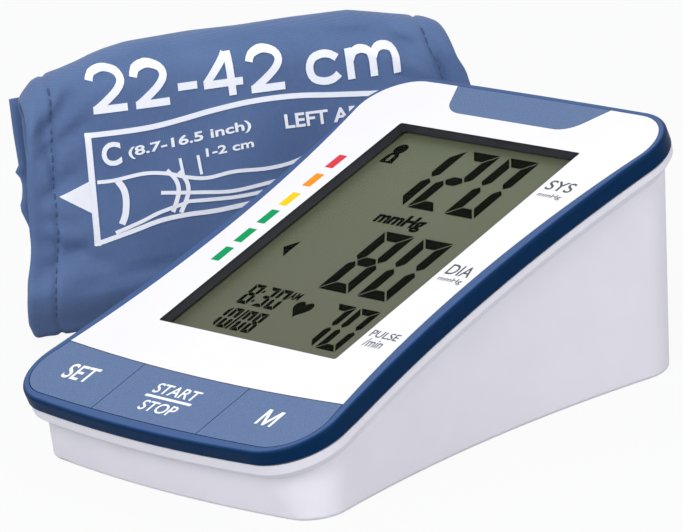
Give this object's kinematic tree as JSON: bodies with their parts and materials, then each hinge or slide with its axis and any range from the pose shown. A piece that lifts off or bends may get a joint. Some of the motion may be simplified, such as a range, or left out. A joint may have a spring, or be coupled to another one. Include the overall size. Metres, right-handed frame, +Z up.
{
  "type": "upper-arm blood pressure monitor",
  "caption": "Wedge-shaped desktop blood pressure monitor with a tilted display, a flush strip of push keys, and a rolled upper-arm cuff standing beside it.",
  "frame": {"origin": "middle of the monitor's flat underside, on the table", "axes": "+Z up, +Y towards the back of the monitor, +X to the right as the display is read"},
  "size_m": [0.2211, 0.217, 0.0846],
  "materials": {
    "base_plastic": "satin",
    "rim_plastic": "satin",
    "face_plastic": "satin",
    "key_plastic": "satin",
    "tab_plastic": "satin",
    "bezel_plastic": "matt",
    "lens_clear": "clear",
    "lcd_glass": "satin",
    "reflector_foil": "satin",
    "tray_plastic": "matt",
    "zebra_rubber": "matt",
    "board_laminate": "satin",
    "chip_black": "matt",
    "switch_black": "matt",
    "buzzer_black": "satin",
    "screw_steel": "satin",
    "motor_steel": "satin",
    "pump_plastic": "matt",
    "saddle_rubber": "matt",
    "clamp_steel": "satin",
    "manifold_plastic": "satin",
    "valve_metal": "satin",
    "sensor_plastic": "matt",
    "hose_rubber": "satin",
    "socket_plastic": "satin",
    "cell_jacket": "satin",
    "spring_steel": "polished",
    "contact_steel": "polished",
    "jack_plastic": "matt",
    "wire_red": "satin",
    "wire_black": "satin",
    "foot_rubber": "matt",
    "cuff_cloth": "matt",
    "cuff_lining": "matt",
    "bladder_rubber": "matt",
    "hem_cloth": "matt",
    "hook_tape": "matt",
    "loop_tape": "matt",
    "port_plastic": "satin"
  },
  "bodies": {
    "monitor": {"base_shell": "base_plastic", "upper_frame": "rim_plastic", "face_plate": "face_plastic", "top_tab": "tab_plastic", "display_bezel": "bezel_plastic", "display_lens": "lens_clear", "lcd_glass": "lcd_glass", "lcd_reflector": "reflector_foil", "lcd_tray": "tray_plastic", "lcd_contact_strip": "zebra_rubber", "main_board": "board_laminate", "board_components": "chip_black", "key_switches": "switch_black", "buzzer": "buzzer_black", "board_screws": "screw_steel", "pump_motor": "motor_steel", "pump_head": "pump_plastic", "pump_saddle": "saddle_rubber", "pump_clamp": "clamp_steel", "clamp_screws": "screw_steel", "air_manifold": "manifold_plastic", "release_valve": "valve_metal", "pressure_sensor": "sensor_plastic", "air_hoses": "hose_rubber", "air_socket": "socket_plastic", "battery_cells": "cell_jacket", "battery_springs": "spring_steel", "battery_plates": "contact_steel", "dc_jack": "jack_plastic", "battery_leads": "wire_red", "motor_leads": "wire_black", "housing_screws": "screw_steel", "rubber_feet": "foot_rubber"},
    "key_set": {"key_set": "key_plastic"},
    "key_start_stop": {"key_start_stop": "key_plastic"},
    "key_memory": {"key_memory": "key_plastic"},
    "battery_door": {"battery_door": "base_plastic"},
    "cuff": {"cuff_outer_fabric": "cuff_cloth", "cuff_inner_fabric": "cuff_lining", "cuff_bladder": "bladder_rubber", "cuff_hems": "hem_cloth", "cuff_loop_patch": "loop_tape", "cuff_hook_patch": "hook_tape", "cuff_air_port": "port_plastic"}
  },
  "joints": [
    {"name": "key_set_press", "type": "slide", "parent": "monitor", "child": "key_set", "axis": [0, 0.3015, -0.9535], "range_m": [0, 0.0007], "stiffness_N_per_m": 700, "springref_m": -0.0006},
    {"name": "key_start_stop_press", "type": "slide", "parent": "monitor", "child": "key_start_stop", "axis": [0, 0.3015, -0.9535], "range_m": [0, 0.0007], "stiffness_N_per_m": 700, "springref_m": -0.0006},
    {"name": "key_memory_press", "type": "slide", "parent": "monitor", "child": "key_memory", "axis": [0, 0.3015, -0.9535], "range_m": [0, 0.0007], "stiffness_N_per_m": 700, "springref_m": -0.0006},
    {"name": "battery_door_hinge", "type": "hinge", "parent": "monitor", "child": "battery_door", "pos_m": [0, 0.0682, 0.0017], "axis": [1, 0, 0], "range_deg": [0, 90]},
    {"name": "cuff_lift", "type": "slide", "parent": "monitor", "child": "cuff", "axis": [0, 0, 1], "range_m": [0, 0.15]}
  ]
}
